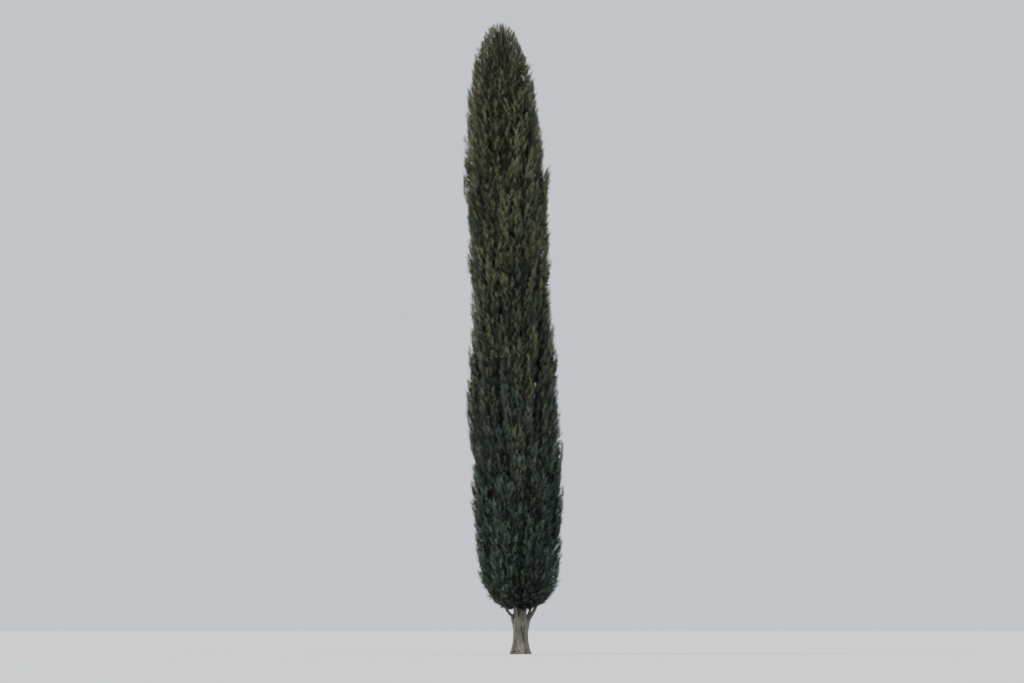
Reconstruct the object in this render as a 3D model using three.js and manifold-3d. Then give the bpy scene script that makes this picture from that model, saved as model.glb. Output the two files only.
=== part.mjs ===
// A pencil cypress, a whole tree rooted in the ground: one trunk with its root flare, the low boughs that show
// under the crown, and a narrow crown of upright plumes of foliage in overlapping tiers, closed by a spire.
// Millimetres, +Z up, the origin in the middle of the flat cut at ground level. +X is the right of the picture
// and +Y is away from it.
import * as THREE from "three";
import { mergeVertices } from "three/addons/utils/BufferGeometryUtils.js";
import Module from "manifold-3d";

const wasm = await Module();
wasm.setup();

// ---- driving sizes -------------------------------------------------------------------------------------------
const TREE_HEIGHT = 12000;
const LEAN_X = -400; // how far the tip stands to the left of the foot
const LEAN_POWER = 1.4; // upright at the foot, leaning more with height
const SWAY_Y = 55; // the slight wander of the trunk towards and away from the viewer

const TRUNK_RADIUS = 128; // just above the root flare
const TRUNK_TOP = 11720;
const TRUNK_TOP_RADIUS = 9;
const TRUNK_TAPER = 0.92;
const FLARE = 0.52; // the root flare, as a share of the trunk's radius
const FLARE_HEIGHT = 210;
const BUTTRESSES = 5;
const TRUNK_SIDES = 20;

const CROWN_FOOT = 860; // where the lowest foliage starts on the trunk
const CROWN_RADIUS = 806;
const SHOULDER_HEIGHT = 4500; // the ogive starts here and ends in the tip
const BLUNTNESS = 4.4; // the higher, the fuller the crown stays towards the tip
const BELLY_HEIGHT = 4550; // the crown is fullest here
const BELLY_REACH = 650;
const BELLY_RISE = 60;
const WAIST_HEIGHT = 6950; // and a little drawn in here
const WAIST_REACH = 1300;
const WAIST_DEPTH = 0.08;

const GAP = 9; // between neighbouring masses of foliage
const TOUCH = 0.35; // between a piece and the limb or mass that it sits against
const FIRST_RINGS = [925, 1010, 1130, 1290, 1500]; // the heights of the rings of points, closer at the crown's foot
const RING_STEP = 345;

// Each tier of plumes: how many stand round the trunk, where its boughs leave the trunk, where it has come out to
// the crown's outline, where its plumes start to narrow, where their tips end, how uneven the tips are, and how
// far the tier is turned.
const TIERS = [
  { name: "skirt", count: 7, root: CROWN_FOOT, out: CROWN_FOOT, broad: 2300, tip: 3650, ragged: 340, turn: 0.35 },
  { name: "lower", count: 7, root: 1550, out: 3600, broad: 4500, tip: 5750, ragged: 330, turn: 0.85 },
  { name: "middle", count: 6, root: 3600, out: 5650, broad: 6450, tip: 7650, ragged: 330, turn: 0.2 },
  { name: "upper", count: 5, root: 5500, out: 7500, broad: 8200, tip: 9350, ragged: 300, turn: 0.75 },
  { name: "shoulder", count: 4, root: 7300, out: 9150, broad: 9750, tip: 10800, ragged: 240, turn: 0.1 },
  { name: "spire", count: 1, root: 9000, out: 10700, broad: TREE_HEIGHT, tip: TREE_HEIGHT, ragged: 0, turn: 0 },
];
const GROOVE = 0.1; // how far a plume's surface falls away towards its neighbours
const PROUD = 0.035; // how far a plume's tip stands out past the crown's outline

const LOW_BOUGHS = [0, 1, 3, 4, 6]; // the plumes of the skirt whose boughs show under the crown
const BOUGH_RADIUS = 34;

const BARK = { color: 0x6f6358, roughness: 0.95, metalness: 0 };
const NEEDLES = { color: 0x33402a, roughness: 0.85, metalness: 0 };

// ---- the lines that everything follows -------------------------------------------------------------------------
const clamp = THREE.MathUtils.clamp;
const smooth = (x) => THREE.MathUtils.smoothstep(x, 0, 1);

// A number from -1 to 1 that is always the same for the same name and index.
function chance(seed, i) {
  const s = Math.sin(seed * 127.1 + i * 311.7) * 43758.5453;
  return 2 * (s - Math.floor(s)) - 1;
}

function axisAt(z) {
  const h = clamp(z / TREE_HEIGHT, 0, 1);
  return new THREE.Vector2(
    LEAN_X * h ** LEAN_POWER,
    SWAY_Y * Math.sin(h * 4.1) * Math.min(1, z / 1500),
  );
}

function trunkRadius(z, angle = null) {
  const h = clamp(z / TRUNK_TOP, 0, 1);
  const plain = TRUNK_TOP_RADIUS + (TRUNK_RADIUS - TRUNK_TOP_RADIUS) * (1 - h) ** TRUNK_TAPER;
  if (angle === null) return plain;
  const low = Math.exp(-z / FLARE_HEIGHT);
  const lobes = 1 + 0.34 * Math.cos(BUTTRESSES * angle + 0.6) + 0.16 * Math.cos(3 * angle + 2.1);
  const fluting = 0.035 * Math.cos(7 * angle + z / 900) * Math.exp(-z / 2500);
  return plain * (1 + FLARE * low * lobes + fluting);
}

// The crown's half width at a height: rounded at the foot, an ogive to the tip, with its belly and its waist.
function crownRadius(z) {
  const up = clamp((z - SHOULDER_HEIGHT) / (TREE_HEIGHT - SHOULDER_HEIGHT), 0, 1);
  const down = clamp((SHOULDER_HEIGHT - z) / (SHOULDER_HEIGHT - CROWN_FOOT), 0, 1);
  const shape = up > 0 ? Math.sqrt(1 - up ** BLUNTNESS) : (1 - down ** 8) ** 0.4;
  const belly = BELLY_RISE * Math.exp(-(((z - BELLY_HEIGHT) / BELLY_REACH) ** 2));
  const waist = WAIST_DEPTH * Math.exp(-(((z - WAIST_HEIGHT) / WAIST_REACH) ** 2));
  return CROWN_RADIUS * shape * (1 - waist) + belly;
}

// How far a tier has come out from the trunk at a height, on its way to the crown's outline.
function emerging(tier, z) {
  if (z >= tier.out) return crownRadius(z);
  const share = clamp((z - tier.root) / (tier.out - tier.root), 0, 1) ** 0.55;
  const inside = 0.55 * trunkRadius(tier.root);
  return Math.min(inside + (crownRadius(tier.out) - inside) * share, crownRadius(z));
}

function unevenness(angle, z, seed) {
  return (
    0.022 * Math.sin(3 * angle + z / 430 + seed) +
    0.02 * Math.sin(5 * angle - z / 290 + 2.3 * seed) +
    0.014 * Math.sin(8 * angle + z / 170 + 0.7 * seed)
  );
}

// ---- solids ----------------------------------------------------------------------------------------------------
function at(angle, radius, z) {
  const a = axisAt(z);
  return new THREE.Vector3(a.x + radius * Math.cos(angle), a.y + radius * Math.sin(angle), z);
}

// A closed skin over a stack of rings with the same number of points, closed at both ends on a point. Faces
// on from the ring point `flip` are divided along their other diagonal.
function skin(rings, bottom, top, flip = Infinity) {
  const n = rings[0].length;
  const points = [bottom, ...rings.flat(), top];
  const index = [];
  for (let i = 0; i < n; i++) {
    const j = (i + 1) % n;
    index.push(0, 1 + j, 1 + i);
    for (let k = 0; k + 1 < rings.length; k++) {
      const a = 1 + k * n + i, b = 1 + k * n + j, c = a + n, d = b + n;
      if (i < flip) index.push(a, b, d, a, d, c);
      else index.push(a, b, c, b, d, c);
    }
    const last = 1 + (rings.length - 1) * n;
    index.push(points.length - 1, last + i, last + j);
  }
  const g = new THREE.BufferGeometry().setFromPoints(points);
  g.setIndex(index);
  return g;
}

function solid(geometry, grow = 0) {
  let g = geometry.clone();
  g.deleteAttribute("normal");
  g.deleteAttribute("uv");
  g = mergeVertices(g, 1e-3);
  if (grow) {
    g.computeVertexNormals();
    const p = g.attributes.position, n = g.attributes.normal;
    for (let i = 0; i < p.count; i++)
      p.setXYZ(i, p.getX(i) + grow * n.getX(i), p.getY(i) + grow * n.getY(i), p.getZ(i) + grow * n.getZ(i));
    g.deleteAttribute("normal");
  }
  return new wasm.Manifold(
    new wasm.Mesh({
      numProp: 3,
      vertProperties: new Float32Array(g.attributes.position.array),
      triVerts: new Uint32Array(g.index.array),
    }),
  );
}

function geometryOf(manifold) {
  const largest = manifold.decompose().reduce((a, b) => (b.volume() > a.volume() ? b : a));
  const mesh = largest.getMesh();
  const g = new THREE.BufferGeometry();
  g.setAttribute("position", new THREE.BufferAttribute(new Float32Array(mesh.vertProperties), mesh.numProp));
  g.setIndex(new THREE.BufferAttribute(new Uint32Array(mesh.triVerts), 1));
  g.computeVertexNormals();
  return g;
}

// The trunk, from its flat cut to its tip.
function trunkGeometry() {
  const heights = [0, 35, 90, 165, 270, 420, 640, 900, 1500];
  for (let z = 2500; z < TRUNK_TOP - 500; z += 1300) heights.push(z);
  heights.push(TRUNK_TOP);
  const rings = heights.map((z) =>
    Array.from({ length: TRUNK_SIDES }, (_, i) => {
      const angle = (2 * Math.PI * i) / TRUNK_SIDES;
      return at(angle, trunkRadius(z, angle), z);
    }),
  );
  return skin(rings, at(0, 0, 0), at(0, 0, TRUNK_TOP + 12));
}

// A limb that tapers along a curve, from deep inside what it grows from to deep inside what it enters.
function limbGeometry(curve, thick, thin, sides = 8, steps = 6) {
  const frames = curve.computeFrenetFrames(steps, false);
  const rings = [];
  for (let k = 0; k <= steps; k++) {
    const p = curve.getPointAt(k / steps);
    const collar = 1 + 0.55 * Math.exp((-k / steps) * 9);
    const r = (thick + (thin - thick) * (k / steps)) * collar;
    rings.push(
      Array.from({ length: sides }, (_, i) => {
        const a = (2 * Math.PI * i) / sides;
        return p
          .clone()
          .addScaledVector(frames.normals[k], r * Math.cos(a))
          .addScaledVector(frames.binormals[k], r * Math.sin(a));
      }),
    );
  }
  return skin(rings, curve.getPointAt(0), curve.getPointAt(1));
}

// The rings of points of every mass stand at these heights, so that neighbours' walls run side by side.
const LEVELS = [...FIRST_RINGS];
while (LEVELS[LEVELS.length - 1] < TREE_HEIGHT) LEVELS.push(LEVELS[LEVELS.length - 1] + RING_STEP);

// Where the wall between two plumes of a tier stands at a height.
function wallAngle(t, i, z) {
  const { count, turn } = TIERS[t];
  const whole = (2 * Math.PI) / count;
  const k = i % count;
  return i * whole + turn + 0.17 * whole * chance(t + 1, k) + 0.1 * whole * Math.sin(z / (580 + 60 * t) + k * 1.9 + t);
}

// One plume: it leaves the trunk low down, comes out to the crown's outline and narrows to an upright tip.
function plumeGeometry(t, i) {
  const tier = TIERS[t], above = TIERS[t + 1];
  const seed = 3 * t + 1.37 * i;
  const tip = tier.tip + tier.ragged * chance(t + 7, i);
  const broad = tier.broad + tier.ragged * 0.6 * chance(t + 12, i);
  const fat = 0.025 * chance(t + 20, i);
  const foot = tier.root + (t ? 0 : 45 * (1 + chance(5, i)));
  const OUTER = 6, INNER = 3;
  const heights = LEVELS.filter((z) => z > foot + 25 && z < tip - 40);
  const outer = (z) => emerging(tier, z) * (1 + PROUD * smooth((z - tier.broad) / (tip - tier.broad)));
  const inner = (z) => (z > above.root ? emerging(above, z) + GAP : 0.3 * trunkRadius(z));
  const middle = (z) => (wallAngle(t, i, z) + wallAngle(t, i + 1, z)) / 2;
  const rings = heights.map((z) => {
    const narrow = z < broad ? 1 : Math.sqrt(1 - Math.min(0.96, ((z - broad) / (tip - broad)) ** 1.9));
    const half =
      ((wallAngle(t, i + 1, z) - wallAngle(t, i, z)) / 2) * narrow - GAP / 2 / Math.max(outer(z), 4 * GAP);
    const inside = inner(z) / Math.cos(half / (INNER - 1));
    const ring = [];
    for (let a = 0; a < OUTER; a++) {
      const u = -1 + (2 * a) / (OUTER - 1);
      const angle = middle(z) + u * half;
      const lumps = unevenness(angle, z, seed) + fat;
      const out = 1 - GROOVE * u ** 4 - 0.03 * u ** 2 + (z < tier.out ? -Math.abs(lumps) : lumps);
      ring.push(at(angle, Math.max(outer(z) * out, inside + 12), z));
    }
    for (let a = 0; a < INNER; a++) ring.push(at(middle(z) + (1 - (2 * a) / (INNER - 1)) * half, inside, z));
    return ring;
  });
  const low = t ? 0.2 * trunkRadius(foot) : 0.55 * crownRadius(foot + 60);
  const end = (0.6 * outer(tip) + 0.4 * (inner(tip) + 12));
  return skin(rings, at(middle(foot), low, foot), at(middle(tip), end, tip), OUTER + INNER - 1);
}

// The spire stands all round the leader and closes over it.
function spireGeometry() {
  const tier = TIERS[TIERS.length - 1];
  const SIDES = 12;
  const heights = LEVELS.filter((z) => z > tier.root + 25 && z < TREE_HEIGHT - 250);
  for (let k = 3; k >= 1; k--) heights.push(TREE_HEIGHT - 28 * k ** 1.9);
  const rings = heights.map((z) =>
    Array.from({ length: SIDES }, (_, i) => {
      const angle = (2 * Math.PI * i) / SIDES;
      const lumps = unevenness(angle, z, 9.1);
      return at(angle, emerging(tier, z) * (1 + (z < tier.out ? -Math.abs(lumps) : lumps)), z);
    }),
  );
  return skin(rings, at(0, 0, tier.root), at(0, 0, TREE_HEIGHT));
}

// ---- the tree --------------------------------------------------------------------------------------------------
const tree = new THREE.Group();
const bark = new THREE.MeshStandardMaterial(BARK);
const needles = new THREE.MeshStandardMaterial(NEEDLES);
function piece(name, geometry, material) {
  const mesh = new THREE.Mesh(geometry, material);
  mesh.name = name;
  tree.add(mesh);
}

const trunk = trunkGeometry();
const roundTrunk = solid(trunk, TOUCH);
piece("trunk", geometryOf(solid(trunk)), bark);

// The masses, from the spire down, each cut round the trunk and clear of the ones that it stands against.
const masses = [];
for (let t = TIERS.length - 1; t >= 0; t--) {
  const { name, count } = TIERS[t];
  for (let i = 0; i < count; i++) {
    let mass = solid(count === 1 ? spireGeometry() : plumeGeometry(t, i)).subtract(roundTrunk);
    for (const other of masses) mass = mass.subtract(other);
    const cut = geometryOf(mass);
    masses.push(solid(cut, TOUCH));
    piece(`foliage_${name}` + (count === 1 ? "" : `_${i + 1}`), cut, needles);
  }
}

// The low boughs leave the trunk below the crown and end where they enter the skirt.
LOW_BOUGHS.forEach((plume, i) => {
  const z0 = 600 + 80 * chance(31, i);
  const angle = (wallAngle(0, plume, 950) + wallAngle(0, plume + 1, 950)) / 2;
  const curve = new THREE.CatmullRomCurve3([
    at(angle - 0.1 * chance(32, i), 0.35 * trunkRadius(z0), z0 - 40),
    at(angle - 0.1 * chance(32, i), trunkRadius(z0) + 45, z0 + 60),
    at(angle + 0.1 * chance(33, i), 285, 890 + 25 * chance(34, i)),
    at(angle + 0.1 * chance(35, i), 370, 1150),
  ]);
  const thick = BOUGH_RADIUS * (1 + 0.2 * chance(36, i));
  let limb = solid(limbGeometry(curve, thick, 0.62 * thick)).subtract(roundTrunk);
  for (const mass of masses) limb = limb.subtract(mass);
  piece(`low_bough_${i + 1}`, geometryOf(limb), bark);
});

export default tree;
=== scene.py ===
# The looks of the pencil cypress. Every mass of foliage is replaced by boughs, twigs and sprays of scale leaves that
# grow on from the trunk by a seeded branching rule, and fill the outline of the mass that they replace.
import math

import bpy
import numpy as np
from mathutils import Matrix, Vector
from mathutils.bvhtree import BVHTree


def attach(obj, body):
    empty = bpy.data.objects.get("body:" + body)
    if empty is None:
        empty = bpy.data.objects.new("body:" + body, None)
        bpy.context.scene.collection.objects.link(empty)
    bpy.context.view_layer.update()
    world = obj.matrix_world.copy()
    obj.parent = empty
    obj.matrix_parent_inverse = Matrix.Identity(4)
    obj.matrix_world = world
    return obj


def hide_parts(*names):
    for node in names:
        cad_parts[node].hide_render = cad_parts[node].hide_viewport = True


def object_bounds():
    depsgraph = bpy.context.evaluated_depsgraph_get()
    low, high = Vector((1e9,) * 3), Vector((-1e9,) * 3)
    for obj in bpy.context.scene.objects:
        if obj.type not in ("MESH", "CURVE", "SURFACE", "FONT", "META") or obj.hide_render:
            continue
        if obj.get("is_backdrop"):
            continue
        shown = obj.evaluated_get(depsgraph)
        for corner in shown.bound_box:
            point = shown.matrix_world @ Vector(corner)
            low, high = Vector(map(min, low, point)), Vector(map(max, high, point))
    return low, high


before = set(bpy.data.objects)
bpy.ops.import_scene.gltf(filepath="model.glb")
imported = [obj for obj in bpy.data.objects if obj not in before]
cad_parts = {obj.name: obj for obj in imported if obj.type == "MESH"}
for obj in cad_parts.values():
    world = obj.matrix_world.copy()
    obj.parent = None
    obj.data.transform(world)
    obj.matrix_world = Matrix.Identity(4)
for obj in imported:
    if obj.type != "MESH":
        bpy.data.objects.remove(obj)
cad_low, cad_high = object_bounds()
rng = np.random.default_rng(41)

# ---- the lines of the tree, in metres ---------------------------------------------------------------------------
HEIGHT = 12.0
LEAN_X, LEAN_POWER, SWAY_Y = -0.400, 1.4, 0.055
TRUNK_RADIUS, TRUNK_TOP, TRUNK_TOP_RADIUS, TRUNK_TAPER = 0.128, 11.720, 0.009, 0.92
FLARE, FLARE_HEIGHT, BUTTRESSES = 0.52, 0.210, 5
CROWN_FOOT = 0.860
TIERS = [
    dict(name="skirt", count=7, root=0.860, tip=3.650, turn=0.35),
    dict(name="lower", count=7, root=1.550, tip=5.750, turn=0.85),
    dict(name="middle", count=6, root=3.600, tip=7.650, turn=0.20),
    dict(name="upper", count=5, root=5.500, tip=9.350, turn=0.75),
    dict(name="shoulder", count=4, root=7.300, tip=10.800, turn=0.10),
    dict(name="spire", count=1, root=9.000, tip=12.000, turn=0.0),
]
LOW_BOUGHS = [0, 1, 3, 4, 6]
BOUGH_RADIUS = 0.034
UP = np.array([0.0, 0.0, 1.0])


def chance(seed, i):
    s = math.sin(seed * 127.1 + i * 311.7) * 43758.5453
    return 2 * (s - math.floor(s)) - 1


def axis_at(z):
    """The middle line of the tree at each height."""
    z = np.asarray(z, float)
    h = np.clip(z / HEIGHT, 0, 1)
    return np.stack([LEAN_X * h**LEAN_POWER, SWAY_Y * np.sin(h * 4.1) * np.minimum(1, z / 1.5), z], -1)


def trunk_radius(z, angle=None):
    z = np.asarray(z, float)
    h = np.clip(z / TRUNK_TOP, 0, 1)
    plain = TRUNK_TOP_RADIUS + (TRUNK_RADIUS - TRUNK_TOP_RADIUS) * (1 - h) ** TRUNK_TAPER
    if angle is None:
        return plain
    low = np.exp(-z / FLARE_HEIGHT)
    lobes = 1 + 0.34 * np.cos(BUTTRESSES * angle + 0.6) + 0.16 * np.cos(3 * angle + 2.1)
    fluting = 0.035 * np.cos(7 * angle + z / 0.9) * np.exp(-z / 2.5)
    return plain * (1 + FLARE * low * lobes + fluting)


def wall_angle(t, i, z):
    """Where the wall between two plumes of a tier stands at a height."""
    count, turn = TIERS[t]["count"], TIERS[t]["turn"]
    whole, k, mm = 2 * math.pi / count, i % count, 1000 * z
    return i * whole + turn + 0.17 * whole * chance(t + 1, k) + 0.1 * whole * math.sin(mm / (580 + 60 * t) + k * 1.9 + t)


def unit(v):
    return v / np.maximum(np.linalg.norm(v, axis=-1, keepdims=True), 1e-9)


# ---- meshes from arrays -----------------------------------------------------------------------------------------
def mesh_object(name, points, faces, materials, index=None, smooth=False, values=None, flat_map=None):
    """One object from an array of points and an array of triangles or quads. flat_map holds a place for each corner."""
    me = bpy.data.meshes.new(name)
    n, sides = faces.shape
    me.vertices.add(len(points))
    me.vertices.foreach_set("co", np.ascontiguousarray(points, np.float32).ravel())
    me.loops.add(n * sides)
    me.loops.foreach_set("vertex_index", np.ascontiguousarray(faces, np.int32).ravel())
    me.polygons.add(n)
    me.polygons.foreach_set("loop_start", np.arange(0, n * sides, sides, dtype=np.int32))
    me.polygons.foreach_set("loop_total", np.full(n, sides, np.int32))
    if index is not None:
        me.polygons.foreach_set("material_index", np.ascontiguousarray(index, np.int32))
    me.polygons.foreach_set("use_smooth", np.full(n, smooth))
    for m in materials:
        me.materials.append(m)
    if values is not None:
        a = me.attributes.new("relief", "FLOAT", "POINT")
        a.data.foreach_set("value", np.ascontiguousarray(values, np.float32))
    if flat_map is not None:
        layer = me.uv_layers.new(name="OFBake")
        layer.data.foreach_set("uv", np.ascontiguousarray(flat_map, np.float32).ravel())
    me.update(calc_edges=True)
    me.validate()
    obj = bpy.data.objects.new(name, me)
    bpy.context.scene.collection.objects.link(obj)
    return obj


def tubes(paths, radii, sides):
    """Tapering limbs along many paths at once: paths is (n, k, 3), radii is (n, k). Closed at both ends on a point."""
    n, k, _ = paths.shape
    along = unit(np.gradient(paths, axis=1))
    first = unit(np.cross(along, np.array([0.31, 0.95, 0.0])))
    second = np.cross(along, first)
    turn = 2 * np.pi * np.arange(sides) / sides
    ring = np.cos(turn)[:, None] * first[:, :, None, :] + np.sin(turn)[:, None] * second[:, :, None, :]
    points = (paths[:, :, None, :] + radii[:, :, None, None] * ring).reshape(n, k * sides, 3)
    points = np.concatenate([points, paths[:, :1], paths[:, -1:] + along[:, -1:] * radii[:, -1:, None]], 1)
    faces = []
    for a in range(k - 1):
        for s in range(sides):
            p, q = a * sides + s, a * sides + (s + 1) % sides
            faces += [(p, q, q + sides), (p, q + sides, p + sides)]
    for s in range(sides):
        q = (s + 1) % sides
        faces += [(k * sides, q, s), (k * sides + 1, (k - 1) * sides + s, (k - 1) * sides + q)]
    faces = np.array(faces)[None] + (np.arange(n) * points.shape[1])[:, None, None]
    return points.reshape(-1, 3), faces.reshape(-1, 3)


def unrolled(rows, sides, heights, left=0.0, right=1.0, low=0.0, high=1.0):
    """The flat map of a limb cut open along one side: a strip from left to right, each ring at its height in it, and
    both end caps as rows of teeth. In the order of the limb's faces: its wall, its first cap and its last."""
    edge = left + (right - left) * np.arange(sides + 1) / sides
    i, j = np.meshgrid(np.arange(rows - 1), np.arange(sides), indexing="ij")
    a = np.stack([edge[j], heights[i]], -1)
    b = np.stack([edge[j + 1], heights[i]], -1)
    c = np.stack([edge[j + 1], heights[i + 1]], -1)
    d = np.stack([edge[j], heights[i + 1]], -1)
    wall = np.concatenate([np.stack([a, b, c], -2).reshape(-1, 3, 2), np.stack([a, c, d], -2).reshape(-1, 3, 2)])
    k = np.arange(sides)
    middle = (edge[k] + edge[k + 1]) / 2
    at = lambda x, y: np.stack([x, np.full(sides, y)], -1)
    first_cap = np.stack([at(middle, low), at(edge[k + 1], heights[0] - 0.004), at(edge[k], heights[0] - 0.004)], 1)
    last_cap = np.stack([at(middle, high), at(edge[k], heights[-1] + 0.004), at(edge[k + 1], heights[-1] + 0.004)], 1)
    return np.concatenate([wall, first_cap, last_cap])


def joined(parts):
    """Several (points, faces) as one."""
    points, faces, start = [], [], 0
    for p, f in parts:
        points.append(p)
        faces.append(f + start)
        start += len(p)
    return np.concatenate(points), np.concatenate(faces)


# ---- materials --------------------------------------------------------------------------------------------------
def material(name, roughness, specular):
    mat = bpy.data.materials.new(name)
    mat.use_nodes = True
    tree = mat.node_tree
    shader = tree.nodes["Principled BSDF"]
    shader.inputs["Roughness"].default_value = roughness
    shader.inputs["Specular IOR Level"].default_value = specular
    return mat, tree, shader


def linear(r, g, b):
    f = lambda c: c / 12.92 if c <= 0.04045 else ((c + 0.055) / 1.055) ** 2.4
    return tuple(f(c / 255) for c in (r, g, b)) + (1.0,)


def noise(tree, scale, detail=4.0, roughness=0.55, stretch=None):
    where = tree.nodes.new("ShaderNodeTexCoord")
    tex = tree.nodes.new("ShaderNodeTexNoise")
    tex.inputs["Scale"].default_value = scale
    tex.inputs["Detail"].default_value = detail
    tex.inputs["Roughness"].default_value = roughness
    if stretch:
        mapping = tree.nodes.new("ShaderNodeMapping")
        mapping.inputs["Scale"].default_value = stretch
        tree.links.new(where.outputs["Object"], mapping.inputs["Vector"])
        tree.links.new(mapping.outputs["Vector"], tex.inputs["Vector"])
    else:
        tree.links.new(where.outputs["Object"], tex.inputs["Vector"])
    return tex.outputs["Fac"]


def ramp(tree, value, stops):
    node = tree.nodes.new("ShaderNodeValToRGB")
    while len(node.color_ramp.elements) < len(stops):
        node.color_ramp.elements.new(0.5)
    for element, (at, colour) in zip(node.color_ramp.elements, stops):
        element.position, element.color = at, colour
    tree.links.new(value, node.inputs["Fac"])
    return node.outputs["Color"]


def bump(tree, shader, height, distance, strength=1.0):
    node = tree.nodes.new("ShaderNodeBump")
    node.inputs["Distance"].default_value = distance
    node.inputs["Strength"].default_value = strength
    tree.links.new(height, node.inputs["Height"])
    tree.links.new(node.outputs["Normal"], shader.inputs["Normal"])


def leaf_material(name, rgb, roughness=0.60):
    """Scale leaves: a plain green for each sort of spray, with the grain of its scales and an uneven sheen."""
    mat, tree, shader = material(name, roughness, 0.3)
    shader.inputs["Base Color"].default_value = linear(*rgb)
    sheen = tree.nodes.new("ShaderNodeMapRange")
    sheen.inputs["To Min"].default_value, sheen.inputs["To Max"].default_value = roughness - 0.12, roughness + 0.14
    tree.links.new(noise(tree, 9.0, 3.0), sheen.inputs["Value"])
    tree.links.new(sheen.outputs["Result"], shader.inputs["Roughness"])
    scales = tree.nodes.new("ShaderNodeTexVoronoi")
    scales.inputs["Scale"].default_value = 420.0
    where = tree.nodes.new("ShaderNodeTexCoord")
    tree.links.new(where.outputs["Object"], scales.inputs["Vector"])
    bump(tree, shader, scales.outputs["Distance"], 0.0015, 0.6)
    return mat


# Three families of green, each of them dark, middling and light, then the new growth and the faded sprays. The dark
# ones stand partly for painted shade and the light ones partly for painted light, by where a spray sits in its cluster.
GREENS = [
    ("blue_dark", (35, 45, 40)), ("blue_middle", (52, 66, 57)), ("blue_light", (70, 86, 74)),
    ("green_dark", (45, 54, 44)), ("green_middle", (67, 78, 62)), ("green_light", (88, 100, 78)),
    ("olive_dark", (55, 57, 42)), ("olive_middle", (81, 82, 60)), ("olive_light", (102, 103, 75)),
    ("fresh_blue", (87, 106, 89)), ("fresh", (109, 115, 82)), ("faded", (88, 82, 64)),
]
LEAVES = [leaf_material("leaf_" + name, rgb) for name, rgb in GREENS]
BLUE, GREEN, OLIVE, FRESH_BLUE, FRESH, FADED = 0, 3, 6, 9, 10, 11
# old leaves: browner with age, and darkened with painted shade for their place deep in the crown, the darkest of them
# most of all
OLD = [
    leaf_material("old_leaf_green", (31, 38, 30), 0.80),
    leaf_material("old_leaf_deep_shade", (23, 28, 22), 0.80),
    leaf_material("old_leaf_brown", (44, 39, 31), 0.80),
]


def bark_material(name, ridge, middle, furrow):
    """Stringy bark: weathered grey ridges, browner furrows darkened further with painted shade, and fine fibres along
    the limb.
    """
    mat, tree, shader = material(name, 0.9, 0.2)
    relief = tree.nodes.new("ShaderNodeAttribute")
    relief.attribute_name = "relief"
    fibres = tree.nodes.new("ShaderNodeMapRange")
    fibres.inputs["From Min"].default_value, fibres.inputs["From Max"].default_value = 0.32, 0.68
    tree.links.new(noise(tree, 120.0, 6.0, 0.72, (1.0, 1.0, 0.08)), fibres.inputs["Value"])
    fibre = fibres.outputs["Result"]
    stain = noise(tree, 3.1, 5.0)
    share = tree.nodes.new("ShaderNodeMath")
    share.operation = "MULTIPLY"
    share.inputs[1].default_value = 0.80
    tree.links.new(relief.outputs["Fac"], share.inputs[0])
    height = tree.nodes.new("ShaderNodeMath")
    height.operation = "MULTIPLY_ADD"
    height.inputs[1].default_value = 0.26
    tree.links.new(fibre, height.inputs[0])
    tree.links.new(share.outputs[0], height.inputs[2])
    # darkest down the furrows: their brown is partly real, partly painted shade
    colour = ramp(
        tree, height.outputs[0],
        [(0.22, linear(*furrow)), (0.50, linear(*middle)), (0.76, linear(*ridge)), (0.97, linear(*[c * 1.20 for c in ridge]))],
    )
    patches = ramp(tree, stain, [(0.34, (0.66, 0.66, 0.66, 1)), (0.50, (1, 1, 1, 1)), (0.68, (1.0, 0.90, 0.80, 1))])
    mix = tree.nodes.new("ShaderNodeMix")
    mix.data_type, mix.blend_type = "RGBA", "MULTIPLY"
    mix.inputs["Factor"].default_value = 1.0
    tree.links.new(colour, mix.inputs["A"])
    tree.links.new(patches, mix.inputs["B"])
    tree.links.new(mix.outputs["Result"], shader.inputs["Base Color"])
    rough = tree.nodes.new("ShaderNodeMapRange")
    rough.inputs["To Min"].default_value, rough.inputs["To Max"].default_value = 0.80, 0.98
    tree.links.new(fibre, rough.inputs["Value"])
    tree.links.new(rough.outputs["Result"], shader.inputs["Roughness"])
    bump(tree, shader, fibre, 0.007, 1.0)
    return mat


def twig_material(name, light, dark):
    """Thin brown twigs, lighter and darker from place to place."""
    mat, tree, shader = material(name, 0.85, 0.2)
    grain = noise(tree, 60.0, 4.0, 0.6, (1.0, 1.0, 0.2))
    tree.links.new(ramp(tree, grain, [(0.35, linear(*dark)), (0.65, linear(*light))]), shader.inputs["Base Color"])
    bump(tree, shader, grain, 0.002, 0.7)
    return mat


# the near-black furrow colours are partly painted shade
BARK = bark_material("trunk_bark", (107, 102, 95), (68, 61, 53), (20, 17, 14))
BOUGH_BARK = bark_material("bough_bark", (105, 99, 91), (67, 60, 52), (20, 17, 14))
TWIG_BARK = twig_material("twig_bark", (84, 68, 50), (46, 36, 26))


# ---- trunk and boughs, with the bark's relief -------------------------------------------------------------------
def ring_noise(across, up, cells, seed):
    """Smooth noise from 0 to 1 that closes on itself round the limb. across is in turns, up in cells."""
    table = np.random.default_rng(seed).random((cells, 257))
    x, y = (across * cells) % cells, up % 256
    i, j = np.floor(x).astype(int), np.floor(y).astype(int)
    u, v = x - i, y - j
    u, v = u * u * (3 - 2 * u), v * v * (3 - 2 * v)
    i2 = (i + 1) % cells
    return (table[i % cells, j] * (1 - u) + table[i2, j] * u) * (1 - v) + (
        table[i % cells, j + 1] * (1 - u) + table[i2, j + 1] * u
    ) * v


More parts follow.
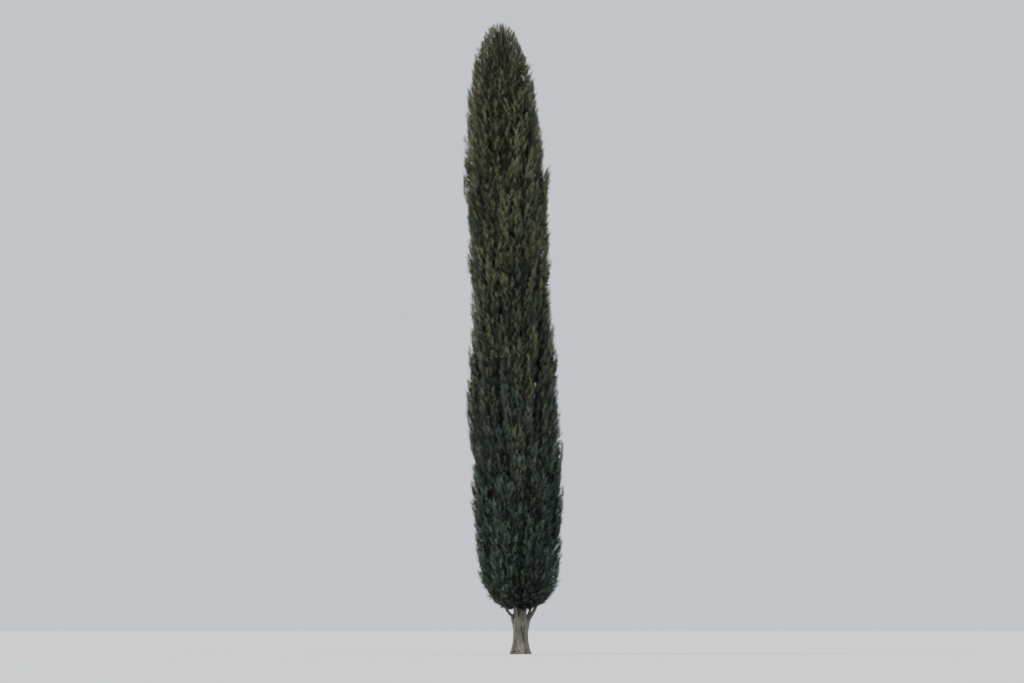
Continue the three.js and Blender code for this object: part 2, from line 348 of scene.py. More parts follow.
def bark_relief(turns, z, cells, length, seed):
    """Height of the bark from 0, the bottom of a furrow, to 1, in flat strips that split and join with a slow twist,
    and how pale it is: paler with height, so darker down the furrows, which is partly painted shade, and changing from
    strip to strip."""
    t = turns + 0.035 * z + 0.016 * (ring_noise(turns, z / (0.8 * length), 8, seed + 3) - 0.5)
    up = z / length + 2.6 * ring_noise(turns, z / (5 * length), 11, seed + 4)
    wide = np.abs(2 * ring_noise(t, up, cells, seed) - 1)
    narrow = np.abs(2 * ring_noise(t, 1.8 * up + 9, 2 * cells + 3, seed + 1) - 1)
    fine = np.abs(2 * ring_noise(t, 3.1 * up + 5, 4 * cells + 1, seed + 7) - 1)
    flakes = ring_noise(t, 9 * up, 3 * cells, seed + 2)
    height = 0.42 * np.clip(wide / 0.20, 0, 1) ** 0.7 + 0.26 * np.clip(narrow / 0.26, 0, 1) ** 0.8
    height += 0.16 * np.clip(fine / 0.40, 0, 1) + 0.16 * flakes
    strips = ring_noise(t, 0.5 * up, cells, seed + 5) + 0.6 * ring_noise(t, 1.4 * up, 3 * cells, seed + 6) - 0.8
    return height, np.clip(height + 0.42 * strips * height, 0, 1)


def bough_foot(i, plume):
    """Where a low bough leaves the trunk: its height and its side."""
    middle = (wall_angle(0, plume, 0.95) + wall_angle(0, plume + 1, 0.95)) / 2
    return 0.600 + 0.080 * chance(31, i), middle - 0.1 * chance(32, i)


def make_trunk():
    sides = 324
    low = np.linspace(0, 1.04, 112)
    zs = np.concatenate([low, np.linspace(1.04, TRUNK_TOP, 12)[1:]])
    turns = np.arange(sides) / sides
    z, t = np.meshgrid(zs, turns, indexing="ij")
    height, pale = bark_relief(t, np.hypot(z, 0.05), 29, 0.21, 5)
    deep = 0.018 * np.clip(trunk_radius(z) / TRUNK_RADIUS, 0, 1)
    r = trunk_radius(z, 2 * np.pi * t) + deep * (height - 0.80)
    for i, plume in enumerate(LOW_BOUGHS):  # each low bough stands on a swelling that runs down the trunk
        z0, side_of = bough_foot(i, plume)
        off = (2 * np.pi * t - side_of + np.pi) % (2 * np.pi) - np.pi
        top = z0 + 0.040
        along = (z - top) / np.where(z < top, 0.17, 0.045)
        wide = 0.040 + 0.10 * np.clip(top - z, 0, 0.2)
        r = r + 0.060 * np.exp(-((off * trunk_radius(z0) / wide) ** 2) - along**2)
    a = axis_at(z)
    points = np.stack([a[..., 0] + r * np.cos(2 * np.pi * t), a[..., 1] + r * np.sin(2 * np.pi * t), z], -1)
    n = len(zs)
    i, j = np.meshgrid(np.arange(n - 1), np.arange(sides), indexing="ij")
    p, q = i * sides + j, i * sides + (j + 1) % sides
    faces = np.concatenate(
        [np.stack([p, q, q + sides], -1).reshape(-1, 3), np.stack([p, q + sides, p + sides], -1).reshape(-1, 3)]
    )
    s = np.arange(sides)
    flat, top = n * sides, n * sides + 1
    faces = np.concatenate([
        faces,
        np.stack([np.full(sides, flat), (s + 1) % sides, s], -1),
        np.stack([np.full(sides, top), (n - 1) * sides + s, (n - 1) * sides + (s + 1) % sides], -1),
    ])
    ends = np.stack([axis_at(0.0), axis_at(TRUNK_TOP + 0.012)])
    points = np.concatenate([points.reshape(-1, 3), ends])
    values = np.concatenate([pale.ravel(), [0.3, 0.6]])
    # most of the flat map goes to the bare foot
    flat_map = unrolled(n, sides, np.interp(zs, [0, 1.04, TRUNK_TOP], [0.03, 0.92, 0.98]))
    return mesh_object("trunk_bark", points, faces, [BARK], smooth=True, values=values, flat_map=flat_map)


def catmull(points, k):
    """k points along a smooth curve through the given ones."""
    p = np.asarray(points, float)
    p = np.concatenate([[2 * p[0] - p[1]], p, [2 * p[-1] - p[-2]]])
    out = []
    for t in np.linspace(0, len(p) - 3, k):
        i = min(int(t), len(p) - 4)
        u = t - i
        a, b, c, d = p[i : i + 4]
        out.append(0.5 * (2 * b + (c - a) * u + (2 * a - 5 * b + 4 * c - d) * u**2 + (3 * b - a - 3 * c + d) * u**3))
    return np.array(out)


def barked_limb(path, radii, sides, seed):
    """A limb with the bark's relief on it."""
    along = unit(np.gradient(path, axis=0))
    first = unit(np.cross(along, np.array([0.31, 0.95, 0.0])))
    second = np.cross(along, first)
    run = np.concatenate([[0], np.cumsum(np.linalg.norm(np.diff(path, axis=0), axis=1))])
    turns = np.arange(sides) / sides
    z, t = np.meshgrid(run, turns, indexing="ij")
    height, pale = bark_relief(t, z, 13, 0.17, seed)
    knots = 1 + 0.30 * (ring_noise(t, z / 0.06, 3, seed + 7) - 0.5)
    r = radii[:, None] * knots * (1 + 0.32 * (height - 0.75))
    points = path[:, None] + r[..., None] * (
        np.cos(2 * np.pi * t)[..., None] * first[:, None] + np.sin(2 * np.pi * t)[..., None] * second[:, None]
    )
    k = len(path)
    i, j = np.meshgrid(np.arange(k - 1), np.arange(sides), indexing="ij")
    p, q = i * sides + j, i * sides + (j + 1) % sides
    faces = np.concatenate(
        [np.stack([p, q, q + sides], -1).reshape(-1, 3), np.stack([p, q + sides, p + sides], -1).reshape(-1, 3)]
    )
    s = np.arange(sides)
    faces = np.concatenate([
        faces,
        np.stack([np.full(sides, k * sides), (s + 1) % sides, s], -1),
        np.stack([np.full(sides, k * sides + 1), (k - 1) * sides + s, (k - 1) * sides + (s + 1) % sides], -1),
    ])
    points = np.concatenate([points.reshape(-1, 3), path[:1], path[-1:] + along[-1:] * radii[-1]])
    pale = np.clip(pale + 0.14 * np.exp(-z / 0.16), 0, 1)
    heights = np.interp(run, [0, 0.60, run[-1]], [0.03, 0.88, 0.97])
    return points, faces, np.concatenate([pale.ravel(), [0.5, 0.5]]), (k, sides, heights)


# ---- the masses, read as the outline that the foliage fills ------------------------------------------------------
masses = []
for t, tier in enumerate(TIERS):
    for i in range(tier["count"]):
        node = "foliage_" + tier["name"] + ("" if tier["count"] == 1 else f"_{i + 1}")
        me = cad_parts[node].data
        me.calc_loop_triangles()
        co = np.zeros(len(me.vertices) * 3, np.float32)
        me.vertices.foreach_get("co", co)
        tri = np.zeros(len(me.loop_triangles) * 3, np.int32)
        me.loop_triangles.foreach_get("vertices", tri)
        masses.append(dict(node=node, tier=t, index=i, co=co.reshape(-1, 3).astype(float), tri=tri.reshape(-1, 3)))

all_co, all_tri = joined([(m["co"], m["tri"]) for m in masses])
bvh = BVHTree.FromPolygons(all_co.tolist(), all_tri.tolist())


def line_of(mass):
    """The mass's own line: how far out it lies at each height, and in which direction."""
    rel = mass["co"] - axis_at(mass["co"][:, 2])
    r, a, z = np.hypot(rel[:, 0], rel[:, 1]), np.arctan2(rel[:, 1], rel[:, 0]), mass["co"][:, 2]
    low, high = z.min(), z.max()
    heights = np.linspace(low + 0.05, high - 0.25, 9)
    inner, outer, angle = [], [], []
    for h in heights:
        near = np.abs(z - h) < 0.24
        inner.append(r[near].min())
        outer.append(r[near].max())
        angle.append(math.atan2(np.sin(a[near]).mean(), np.cos(a[near]).mean()))
    return heights, np.array(inner), np.array(outer), np.unwrap(angle)


def on_line(path, z):
    """A point at each height on a path that rises all the way."""
    return np.stack([np.interp(z, path[:, 2], path[:, k]) for k in range(3)], -1)


# Main boughs: one for each plume, from the trunk up the middle of its mass. The spire's is the trunk itself.
low_bough_parts, main_paths, main_radii = [], [], []
for m in masses:
    t, tier = m["tier"], TIERS[m["tier"]]
    heights, inner, outer, angle = line_of(m)
    if tier["count"] == 1:
        z = np.linspace(tier["root"], TRUNK_TOP, 12)
        m["bough"] = axis_at(z)
        continue
    if t == 0:
        i = m["index"]
        if i in LOW_BOUGHS:
            i = LOW_BOUGHS.index(i)
            z0, first_way = bough_foot(i, m["index"])
            mid = first_way + 0.1 * chance(32, i)
            spots = [
                (first_way, 0.35 * trunk_radius(z0), z0 - 0.040),
                (first_way, trunk_radius(z0) + 0.045, z0 + 0.060),
                (mid + 0.1 * chance(33, i), 0.285, 0.890 + 0.025 * chance(34, i)),
                (mid + 0.1 * chance(35, i), 0.370, 1.150),
            ]
            thick = BOUGH_RADIUS * (1 + 0.2 * chance(36, i))
        else:
            mid = float(angle[0])
            spots = [(mid, 0.05, 0.86), (mid, 0.17, 0.95), (mid, 0.30, 1.12), (mid, 0.36, 1.30)]
            thick = 0.024
        foot = [axis_at(z) + np.array([r * math.cos(a), r * math.sin(a), 0]) for a, r, z in spots]
        rise = heights[heights > 1.55]
    else:
        z0 = tier["root"]
        mid = float(angle[0])
        foot = [axis_at(z0 - 0.15) + 0.03 * np.array([math.cos(mid), math.sin(mid), 0])]
        thick = 0.030 - 0.003 * t
        rise = heights[1:]
    r = inner + 0.42 * (outer - inner)
    upper = [
        axis_at(z) + np.interp(z, heights, r) * np.array([math.cos(a), math.sin(a), 0])
        for z, a in zip(rise, np.interp(rise, heights, angle))
    ]
    path = catmull(foot + upper, 44 if t else 264)
    run = np.concatenate([[0], np.cumsum(np.linalg.norm(np.diff(path, axis=0), axis=1))])
    if t == 0:  # closer rings where the bough shows under the crown, and small crooks
        fine = 56 if m["index"] in LOW_BOUGHS else 18
        places = np.concatenate([np.linspace(0, 0.60, fine)[:-1], np.linspace(0.60, run[-1], 15)])
        path = np.stack([np.interp(places, run, path[:, k]) for k in range(3)], -1)
        run = places
        crook = 0.008 * (1 - np.exp(-run / 0.08))
        path[:, 0] += crook * np.sin(run / 0.052 + 2.1 * m["index"])
        path[:, 1] += crook * np.sin(run / 0.067 + 1.3 * m["index"] + 1)
    share = run / run[-1]
    radii = thick * (1 - 0.85 * share) * (1 + 0.42 * np.exp(-run / 0.07))
    m["bough"] = path
    if t == 0:
        low_bough_parts.append(barked_limb(path, radii, 34 if m["index"] in LOW_BOUGHS else 16, 100 + m["index"]))
    else:
        main_paths.append(path[::4])
        main_radii.append(radii[::4])

# ---- shoots: their tips are spread evenly over what shows of the masses -----------------------------------------
SPACING = 0.076


def spread_tips():
    """Tips on the masses' outer faces, no two closer than the spacing, none where another mass covers them."""
    cell, taken, found = SPACING, {}, []  # closer towards the very tip
    for k, m in enumerate(masses):
        a, b, c = (m["co"][m["tri"][:, j]] for j in range(3))
        normal = np.cross(b - a, c - a)
        area = np.linalg.norm(normal, axis=1) / 2
        normal = unit(normal)
        n = int(area.sum() * 900)
        pick = rng.choice(len(area), n, p=area / area.sum())
        u, v = rng.random(n), rng.random(n)
        over = u + v > 1
        u[over], v[over] = 1 - u[over], 1 - v[over]
        p = a[pick] + u[:, None] * (b - a)[pick] + v[:, None] * (c - a)[pick]
        nor = normal[pick]
        rel = p - axis_at(p[:, 2])
        rel[:, 2] = 0
        out = unit(rel)
        facing = (nor * out).sum(1)
        for q in range(n):
            if facing[q] < -0.15 and nor[q, 2] < 0.3:
                continue
            key = tuple(np.floor(p[q] / cell).astype(int))
            apart = (cell * (1 - 0.30 * min(1, max(0, (p[q, 2] - 10.6) / 1.4)))) ** 2
            near = False
            for dx in (-1, 0, 1):
                for dy in (-1, 0, 1):
                    for dz in (-1, 0, 1):
                        for w in taken.get((key[0] + dx, key[1] + dy, key[2] + dz), ()):
                            if (w[0] - p[q, 0]) ** 2 + (w[1] - p[q, 1]) ** 2 + (0.72 * (w[2] - p[q, 2])) ** 2 < apart:
                                near = True
            if near:
                continue
            start = Vector(p[q] + 0.02 * nor[q])
            look = Vector(unit(out[q] + 0.3 * UP))
            hit = bvh.ray_cast(start, look, 0.9)
            if hit[0] is not None:
                continue
            taken.setdefault(key, []).append(p[q])
            found.append((k, p[q], nor[q], out[q]))
    return found


found = spread_tips()
for radius, z, turns in [(0.0, 12.000, 0.0), (0.030, 11.950, 0.1), (0.045, 11.915, 0.45), (0.050, 11.890, 0.8)]:
    away = np.array([math.cos(2 * math.pi * turns), math.sin(2 * math.pi * turns), 0.0])
    found.append((len(masses) - 1, axis_at(z) + radius * away, UP.copy(), away))  # the leader and its rivals
mass_of = np.array([f[0] for f in found])
surface = np.array([f[1] for f in found])
normal = np.array([f[2] for f in found])
outward = np.array([f[3] for f in found])
count = len(found)
tier_of = np.array([masses[k]["tier"] for k in mass_of])

# the shoots stand in clusters, each of them a small plume: set back at its foot and its sides, and drawn together
# towards its top
side = np.cross(UP, outward)
cluster = np.zeros(count, int)
clusters = 0
sideways, upward = np.zeros(count), np.zeros(count)
for k, m in enumerate(masses):
    mine = np.where(mass_of == k)[0]
    if not len(mine):
        continue
    around = np.arctan2(outward[mine, 1], outward[mine, 0])
    middle_way = math.atan2(np.sin(around).mean(), np.cos(around).mean()) if TIERS[m["tier"]]["count"] > 1 else 0.0
    around = (around - middle_way + math.pi) % (2 * math.pi) - math.pi
    flat = np.stack([around * 0.75, 0.38 * surface[mine, 2]], 1)
    groups = max(3, round(len(mine) / 11))
    centres = flat[rng.choice(len(mine), groups, replace=False)]
    for _ in range(12):
        label = ((flat[:, None] - centres[None]) ** 2).sum(-1).argmin(1)
        for g in range(groups):
            if (label == g).any():
                centres[g] = flat[label == g].mean(0)
    for g in range(groups):
        here = label == g
        if not here.any():
            continue
        off = flat[here] - centres[g]
        wide, tall = np.abs(off[:, 0]).max() + 0.02, np.abs(off[:, 1]).max() + 0.02
        sideways[mine[here]] = off[:, 0] / wide
        upward[mine[here]] = off[:, 1] / tall
        cluster[mine[here]] = clusters
        clusters += 1

flatwise = normal.copy()
flatwise[:, 2] = 0
top_end = np.clip((surface[:, 2] - 10.6) / 1.4, 0, 1)  # finer towards the very tip
low_end = 1 - np.clip((surface[:, 2] - 0.92) / 0.85, 0, 1)
low_end = low_end**2 * (3 - 2 * low_end)  # the lowest shoots reach outwards before they turn up
low_end *= 0.8 + 0.2 * np.sin(cluster * 2.4)
under = np.clip(-normal[:, 2], 0, 1)
sway = rng.normal(0, 0.10, (count, 3)) * [1, 1, 0.3]
proud = (0.036 * upward - 0.092 * sideways**2 + 0.002) * (1 - 0.5 * top_end) * (1 - 0.6 * low_end)
proud += 0.022 * np.clip((surface[:, 2] - 8.2) / 1.2, 0, 1)
straggler = rng.random(count) < 0.06  # a few grow past the rest
aim = unit(
    (1 - 0.62 * low_end)[:, None] * UP + (0.25 - 0.12 * top_end)[:, None] * flatwise
    + (0.30 * under + 0.80 * low_end)[:, None] * outward
    - (0.18 * sideways * np.clip(0.4 + upward, 0, 1))[:, None] * side + sway
)
length = (0.31 - 0.10 * top_end) * rng.uniform(0.82, 1.22, count)
tips = (
    surface + outward * (proud + rng.uniform(-0.014, 0.014, count))[:, None]
    - side * (0.035 * sideways * np.clip(upward, 0, 1))[:, None]
    + UP * (0.03 * np.clip(upward, 0, 1) * (1 - sideways**2) + rng.uniform(-0.03, 0.03, count) * (1 - low_end))[:, None]
    + aim * (0.055 * straggler * (1 - top_end) * (1 - low_end))[:, None]
)
tips -= UP * (0.07 * low_end * rng.random(count) ** 2)[:, None]
tips[:, 2] = np.minimum(tips[:, 2], HEIGHT + 0.01)
bases = tips - aim * length[:, None] - outward * (0.045 + 0.02 * rng.random(count))[:, None]
bases += UP * (0.035 * low_end)[:, None]
# no base leaves the crown on the trunk's other side
rel = bases - axis_at(bases[:, 2])
rel[:, 2] = 0
inward = (rel * outward).sum(1)
bases += outward * np.maximum(0, 0.05 - inward)[:, None]
bases[:, 2] = np.maximum(bases[:, 2], 0.88)


def bend(t):
    """Points along every shoot at share t, and the way it grows there: out at first, then upright."""
    middle = bases + (tips - bases) * 0.5 + outward * 0.02 * (length / 0.3)[:, None]
    p = (1 - t) ** 2 * bases + 2 * t * (1 - t) * middle + t * t * tips
    d = 2 * (1 - t) * (middle - bases) + 2 * t * (tips - middle)
    return p, unit(d)


# ---- branches: each bough divides into branches, and each of those carries a cluster of shoots -------------------
branch_paths, branch_radii, joints = [], [], np.zeros((count, 3))
for g in range(clusters):
    shoots = np.where(cluster == g)[0]
    bough = masses[mass_of[shoots[0]]]["bough"]
    b, o = bases[shoots], unit(outward[shoots].mean(0))
    z_low, z_high = b[:, 2].min(), b[:, 2].max()
    z_start = np.clip(z_low - 0.45, max(bough[0, 2] + 0.03, 0.94), bough[-1, 2])
    start = on_line(bough, z_start)
    low = b[b[:, 2] <= np.quantile(b[:, 2], 0.4)].mean(0) - 0.10 * o
    high = b[b[:, 2] >= np.quantile(b[:, 2], 0.6)].mean(0) - 0.03 * o
    low[2] = max(z_low - 0.05, z_start + 0.04)
    high[2] = max(z_high, low[2] + 0.05)
    path = catmull([start, 0.45 * start + 0.55 * low - [0, 0, 0.04], low, high], 7)
    branch_paths.append(path)
    branch_radii.append(np.linspace(0.012, 0.004, 7))
    z_leave = np.clip(b[:, 2] - rng.uniform(0.06, 0.18, len(b)), path[0, 2], path[-1, 2])
    order = np.argsort(path[:, 2])
    joints[shoots] = on_line(path[order], z_leave)

# ---- sprays of scale leaves --------------------------------------------------------------------------------------
def finger(base, way, face, size, width):
    """One branchlet: long and narrow, broadest where it leaves its stem."""
    across = unit(np.cross(way, face)) * width / 2
    return np.array([base - across, base + across, base + way * size])


def spray_form(seed, arms, inner, outer, width, flat=0.70):
    """A spray one unit long that grows along +Z: a stem, side branchlets turn about, and smaller ones on those."""
    r = np.random.default_rng(seed)
    front = np.array([0.0, 1.0, 0.0])
    faced = lambda: unit(front + r.normal(0, 0.5, 3))
    parts = [finger(np.zeros(3), unit(np.array([0.03, 0.09, 1.0])), front, 0.98, 0.65 * width)]
    for i in range(arms):
        share = 0.04 + 0.80 * i / (arms - 1)
        stem = np.array([0.03 * share, 0.09 * share, share])
        turn = (0 if i % 2 else math.pi) + r.normal(0, 0.60)
        tilt = 0.80 - 0.36 * share + r.normal(0, 0.09)
        way = unit(np.array([math.sin(tilt) * math.cos(turn), flat * math.sin(tilt) * math.sin(turn), math.cos(tilt)]))
        size = 0.49 * (1.06 - 0.54 * share) * r.uniform(0.85, 1.18)
        parts.append(finger(stem, way, faced(), size, width))
        if i < inner:  # one that turns back towards the stem
            at = stem + way * size * r.uniform(0.28, 0.42)
            parts.append(finger(at, unit(way + 0.80 * UP + r.normal(0, 0.22, 3)), faced(), size * r.uniform(0.50, 0.64), 0.82 * width))
        if i < outer:  # one on its outer side
            at = stem + way * size * r.uniform(0.45, 0.6)
            parts.append(finger(at, unit(way - 0.45 * UP + r.normal(0, 0.22, 3)), faced(), size * r.uniform(0.38, 0.50), 0.78 * width))
    return np.concatenate(parts)


def frond_form(seed, teeth=5):
    """An old, flat spray one unit long: a narrow fan with branchlets that run out into long teeth on both sides."""
    r = np.random.default_rng(seed)
    parts = []
    for side_of in (-1, 1):
        for i in range(teeth):
            low = i / teeth * 0.84 + 0.03 * r.normal()
            reach = (0.31 - 0.19 * i / teeth) * r.uniform(0.75, 1.25)
            tip = np.array([side_of * reach, 0.08 * r.normal(), low + 0.30 + 0.14 * r.random()])
            parts.append(np.array([[0, 0, low], [0, 0.02 * r.normal(), low + 0.155], tip]))
    return np.concatenate(parts)


FORMS = [spray_form(s, 11, 9, 6, 0.054) for s in range(16)]  # 27 triangles: those that show
PLAIN_FORMS = [spray_form(40 + s, 8, 3, 0, 0.090) for s in range(8)]  # 12: those half hidden behind them
OLD_FORMS = [frond_form(90 + s) for s in range(8)]
ALLOWED = 0.03 * (np.array(cad_high) - np.array(cad_low)) + 0.006
LOW_LIMIT, HIGH_LIMIT = np.array(cad_low) - ALLOWED, np.array(cad_high) + ALLOWED


def grow(forms, at, way, face, size, choice):
    """Copies of the forms, each turned so that it grows along its way and shows its face."""
    z = unit(way)
    x = unit(np.cross(face, z))
    y = np.cross(z, x)
    turn = np.stack([x, y, z], -1)
    n, m = len(at), len(forms[0])
    points = np.empty((n, m, 3))
    for f, form in enumerate(forms):
        s = choice == f
        points[s] = at[s][:, None] + np.einsum("nij,mj->nmi", turn[s], form) * size[s][:, None, None]
    # the few that would pass the tree's furthest reach are drawn in
    points -= np.maximum(0, points.max(1) - HIGH_LIMIT)[:, None]
    points += np.maximum(0, LOW_LIMIT - points.min(1))[:, None]
    return points.reshape(-1, 3), np.arange(n * m).reshape(-1, 3), m // 3


def covered(points, outward):
    """Whether something of the crown's outline lies outside each point."""
    return np.array([bvh.ray_cast(Vector(p), Vector(o), 1.2)[0] is not None for p, o in zip(points, outward)])


SPRAYS = 8
groups_tone = np.random.default_rng(7).normal(0, 1, clusters)
groups_hue = np.random.default_rng(8).normal(0, 1, clusters)
mass_tone = np.random.default_rng(9).normal(0, 1, len(masses))
shade = 0.55 * groups_tone[cluster] + 0.45 * mass_tone[mass_of]
hue = groups_hue[cluster]
# bluer towards the foot, which is partly painted shade: the cool tint that shade takes under the sky; more olive
# towards the top
rise = surface[:, 2] - 0.9
bluish = np.clip(1.22 - 0.215 * rise + 0.12 * hue, 0.0, 0.97)
olive = np.clip(0.165 * (rise - 3.9) - 0.12 * hue, 0.0, 0.97 - bluish)
at, way, face, size, colour, owner, fine = [], [], [], [], [], [], []
turn0 = rng.uniform(-1, 1, count)
own_draw = np.random.default_rng(11).random(count)  # a shoot's sprays are mostly of one family
for s in range(SPRAYS):
    last = s == SPRAYS - 1
    t = 1.0 if last else 0.30 + 0.66 * s / (SPRAYS - 2) + rng.uniform(-0.03, 0.03, count)
    t = np.broadcast_to(t, (count,))[:, None]
    middle = bases + (tips - bases) * 0.5 + outward * 0.02 * (length / 0.3)[:, None]
    p = (1 - t) ** 2 * bases + 2 * t * (1 - t) * middle + t * t * tips
    d = unit(2 * (1 - t) * (middle - bases) + 2 * t * (tips - middle))
    # sprays stand round the shoot, but few look into the crown
    swing = ((turn0 + 2 * (s * 0.381966)) % 2 - 1) * 2.35 + rng.normal(0, 0.15, count)
    lateral = np.cos(swing)[:, None] * unit(outward - (outward * d).sum(1, keepdims=True) * d) + np.sin(swing)[:, None] * side
    open_ = (0.10 if last else 0.62 - 0.30 * t) * rng.uniform(0.8, 1.2, count)[:, None]
    w = unit(d * np.cos(open_) + lateral * np.sin(open_) + 0.12 * UP)
    reach = (0.135 - 0.030 * t[:, 0]) * rng.uniform(0.82, 1.2, count) * (1 - 0.30 * top_end)
    # the last spray ends where the shoot does
    p = p - w * (reach * (0.75 if last else 0.0))[:, None]
    at.append(p)
    way.append(w)
    face.append(unit(lateral + 0.5 * rng.normal(0, 1, (count, 3))))
    size.append(reach)
    owner.append(np.arange(count))
    fine.append(np.full(count, s >= 4))
    # lighter towards the shoot's end, where its growth is new, and painted light at the top of its cluster; painted
    # shade, darker, at the cluster's foot and sides
    light = (
        1.0 * (t[:, 0] - 0.62) + 0.28 * upward - 0.45 * sideways**2 + 0.22 * shade + rng.normal(0, 0.26, count) + (0.06 if s >= 4 else -0.04)
    )
    level = 1 + (light > 0.30).astype(int) - (light < -0.22).astype(int)
    draw = np.clip(own_draw + 0.34 * (rng.random(count) - 0.5), 0, 1)
    family = np.where(draw < bluish, BLUE, np.where(draw > 1 - olive, OLIVE, GREEN))
    sort = family + level
    new = (light > (0.62 if last else 0.92)) & (s >= 4)
    sort[new] = np.where(family[new] == BLUE, FRESH_BLUE, FRESH)
    sort[rng.random(count) < 0.004 + 0.012 * (shade > 1.3)] = FADED
    colour.append(sort)
at, way, face = np.concatenate(at), np.concatenate(way), np.concatenate(face)
size, colour, owner, fine = (np.concatenate(a) for a in (size, colour, owner, fine))

# Old sprays round the foot of every shoot, browner with age and darker with painted shade: what shows deep between the
# plumes.
OLD_SPRAYS = 4
o_at, o_way, o_face, o_size, o_colour, o_out = [], [], [], [], [], []
for s in range(OLD_SPRAYS):
    share = rng.uniform(0.45, 1.0, count)[:, None]
    p = joints + (bases - joints) * share - 0.015 * outward
    swing = rng.normal(0, 0.60, count)[:, None]
    w = unit(UP * np.cos(swing) + side * np.sin(swing) + 0.12 * rng.normal(0, 1, (count, 1)) * outward)
    o_at.append(p)
    o_way.append(w)
    o_face.append(unit(outward + 0.25 * rng.normal(0, 1, (count, 3))))
    o_size.append(rng.uniform(0.15, 0.23, count) * (1 - 0.4 * top_end))
    draw = rng.random(count)
    o_colour.append((draw > 0.50).astype(int) + (draw > 0.90))
    o_out.append(outward)
o_at, o_way, o_face, o_out = (np.concatenate(a) for a in (o_at, o_way, o_face, o_out))
o_size, o_colour = np.concatenate(o_size), np.concatenate(o_colour)
# Larger old ones stand all along the boughs and the trunk inside the crown, and keep the sky from showing through.
for m in masses:
    bough = m["bough"]
    z_low, z_high = max(1.35, bough[0, 2] + 0.30), min(bough[-1, 2] - 0.1, 11.5)
    n = int((115 if TIERS[m["tier"]]["count"] == 1 else 36) * (z_high - z_low))
    order = np.argsort(bough[:, 2])
    p = on_line(bough[order], rng.uniform(z_low, z_high, n))
    turn = rng.uniform(0, 2 * np.pi, n)
    round_it = np.stack([np.cos(turn), np.sin(turn), np.zeros(n)], -1)
    o_at = np.concatenate([o_at, p + 0.008 * round_it])
    o_way = np.concatenate([o_way, unit(UP + rng.uniform(0.2, 0.7, (n, 1)) * round_it)])
    o_face = np.concatenate([o_face, unit(rng.normal(0, 1, (n, 3)) * [1, 1, 0.2])])
    o_size = np.concatenate([o_size, rng.uniform(0.27, 0.40, n) * (1 - 0.4 * np.clip((p[:, 2] - 9.6) / 1.9, 0, 1))])
    o_out = np.concatenate([o_out, round_it])
    # mostly the darkest old green, painted shade inside the crown
    o_colour = np.concatenate([o_colour, 1 + (rng.random(n) > 0.85)])

inside = covered(o_at, o_out) & covered(o_at + o_way * o_size[:, None], o_out)
o_at, o_way, o_face, o_size, o_colour = (a[inside] for a in (o_at, o_way, o_face, o_size, o_colour))


def keep(obj, slot, *nodes):
    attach(obj, "root")
    if nodes:
        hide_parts(*nodes)
    return obj


keep(make_trunk(), "trunk_bark", "trunk")
p, f = joined([(a, b) for a, b, _, _ in low_bough_parts])
v = np.concatenate([c for _, _, c, _ in low_bough_parts])
wide = np.cumsum([0] + [d[1] for _, _, _, d in low_bough_parts]) / sum(d[1] for _, _, _, d in low_bough_parts)
flat_map = np.concatenate([
    unrolled(*d, left=a + 0.003, right=b - 0.003) for (_, _, _, d), a, b in zip(low_bough_parts, wide, wide[1:])
])
low_boughs = mesh_object("low_boughs", p, f, [BOUGH_BARK], smooth=True, values=v, flat_map=flat_map)
keep(low_boughs, "bough_bark", *[f"low_bough_{i + 1}" for i in range(len(LOW_BOUGHS))])

p, f = joined([
    tubes(np.array(main_paths), np.array(main_radii), 8),
    tubes(np.array(branch_paths), np.array(branch_radii), 5),
])
keep(mesh_object("boughs", p, f, [BOUGH_BARK], smooth=True, values=np.full(len(p), 0.5)), "bough_bark")

PIECES = [("skirt_a", 0, range(0, 4)), ("skirt_b", 0, range(4, 7)), ("lower", 1, range(7)), ("middle", 2, range(6)),
          ("upper", 3, range(5)), ("shoulder", 4, range(4)), ("spire", 5, range(1))]
low_ring, high_ring = joints, 0.85 * bases + 0.15 * joints
ring = np.array([[math.cos(a), math.sin(a), 0.0] for a in (0.3, 0.3 + 2 * math.pi / 3, 0.3 + 4 * math.pi / 3)])
p = np.concatenate([low_ring[:, None] + 0.0042 * ring, high_ring[:, None] + 0.0036 * ring, bend(0.94)[0][:, None]], 1)
each = [(0, 2, 1)]
for a in range(3):
    b = (a + 1) % 3
    each += [(a, b, b + 3), (a, b + 3, a + 3), (a + 3, b + 3, 6)]
f = np.array(each)[None] + 7 * np.arange(count)[:, None, None]
keep(mesh_object("twigs", p.reshape(-1, 3), f.reshape(-1, 3), [TWIG_BARK]), "bough_bark")

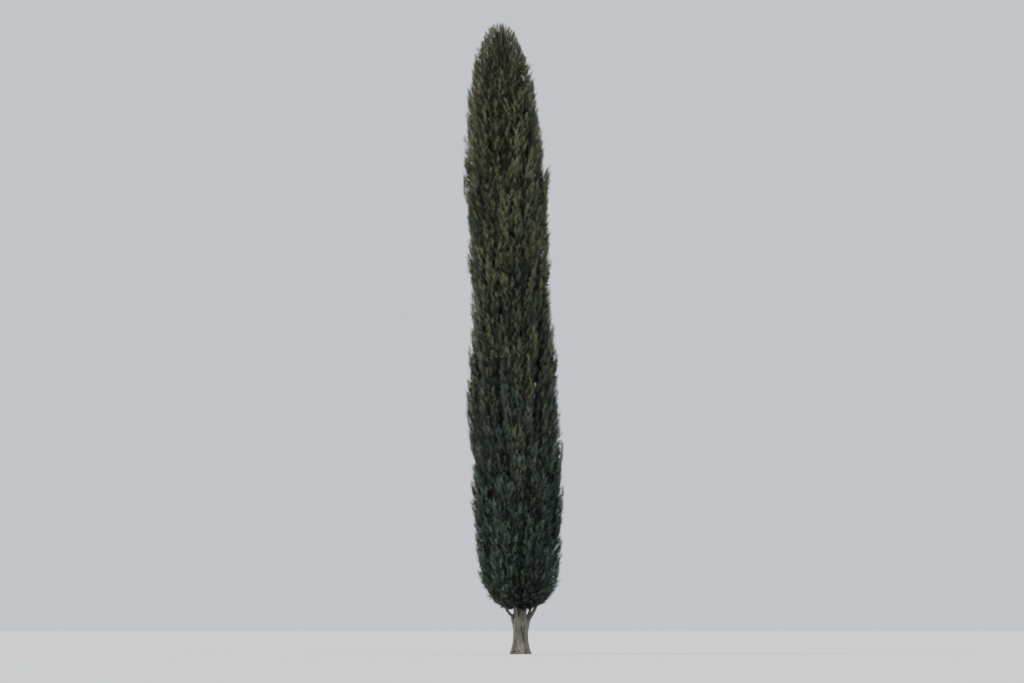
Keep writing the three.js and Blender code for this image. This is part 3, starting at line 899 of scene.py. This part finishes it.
index_of = np.array([m["index"] for m in masses])
for name, t, which in PIECES:
    chosen = (tier_of == t) & np.isin(index_of[mass_of], list(which))
    s = chosen[owner]
    parts, sorts = [], []
    for forms, some in ((FORMS, s & fine), (PLAIN_FORMS, s & ~fine)):
        p, f, each = grow(forms, at[some], way[some], face[some], size[some], rng.integers(0, len(forms), some.sum()))
        parts.append((p, f))
        sorts.append(np.repeat(colour[some], each))
    p, f = joined(parts)
    obj = mesh_object("sprays_" + name, p, f, LEAVES, index=np.concatenate(sorts))
    nodes = [m["node"] for m in masses if m["tier"] == t and m["index"] in which]
    keep(obj, "foliage", *nodes)
for name, s in (("low", o_at[:, 2] < 5.2), ("high", o_at[:, 2] >= 5.2)):
    p, f, each = grow(OLD_FORMS, o_at[s], o_way[s], o_face[s], o_size[s], rng.integers(0, len(OLD_FORMS), s.sum()))
    keep(mesh_object("old_sprays_" + name, p, f, OLD, index=np.repeat(o_colour[s], each)), "foliage")

# ---- floor, light and camera ------------------------------------------------------------------------------------
floor_mat, tree, shader = material("pale_floor", 0.9, 0.2)
colour_out = ramp(tree, noise(tree, 0.6, 4.0), [(0.3, (0.70, 0.70, 0.68, 1)), (0.7, (0.74, 0.74, 0.72, 1))])
tree.links.new(colour_out, shader.inputs["Base Color"])
edge = 3000.0
floor = mesh_object(
    "floor",
    np.array([(-edge, -edge, -0.001), (edge, -edge, -0.001), (edge, edge, -0.001), (-edge, edge, -0.001)]),
    np.array([(0, 1, 2, 3)]),
    [floor_mat],
)
floor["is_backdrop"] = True

world = bpy.data.worlds.new("studio")
world.use_nodes = True
background = world.node_tree.nodes["Background"]
background.inputs["Color"].default_value = (0.86, 0.92, 1.0, 1.0)
background.inputs["Strength"].default_value = 1.1
bpy.context.scene.world = world


def sun(name, way, strength, spread, tint):
    data = bpy.data.lights.new(name, "SUN")
    data.energy, data.angle, data.color = strength, math.radians(spread), tint
    obj = bpy.data.objects.new(name, data)
    obj.rotation_mode = "QUATERNION"
    obj.rotation_quaternion = Vector(way).to_track_quat("-Z", "Y")
    bpy.context.scene.collection.objects.link(obj)


sun("key", (0.62, 0.50, -0.80), 3.2, 14, (1.0, 0.97, 0.92))
sun("fill", (-0.7, 0.35, -0.5), 0.4, 50, (0.9, 0.95, 1.0))

camera = bpy.data.objects.new("camera", bpy.data.cameras.new("camera"))
bpy.context.scene.collection.objects.link(camera)
bpy.context.scene.camera = camera
DISTANCE, EYE, SHOWN = 90.0, 0.45, 13.0  # SHOWN is the height of the picture at the tree, in metres
camera.location = (-0.16, -DISTANCE, EYE)
look = Vector((-0.16, 0, 5.95)) - camera.location
camera.rotation_mode = "QUATERNION"
camera.rotation_quaternion = look.to_track_quat("-Z", "Y")
camera.data.sensor_width = 36.0
camera.data.lens = 36.0 * DISTANCE / (SHOWN * 1024 / 683)
camera.data.clip_start, camera.data.clip_end = 1.0, 6000.0

low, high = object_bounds()
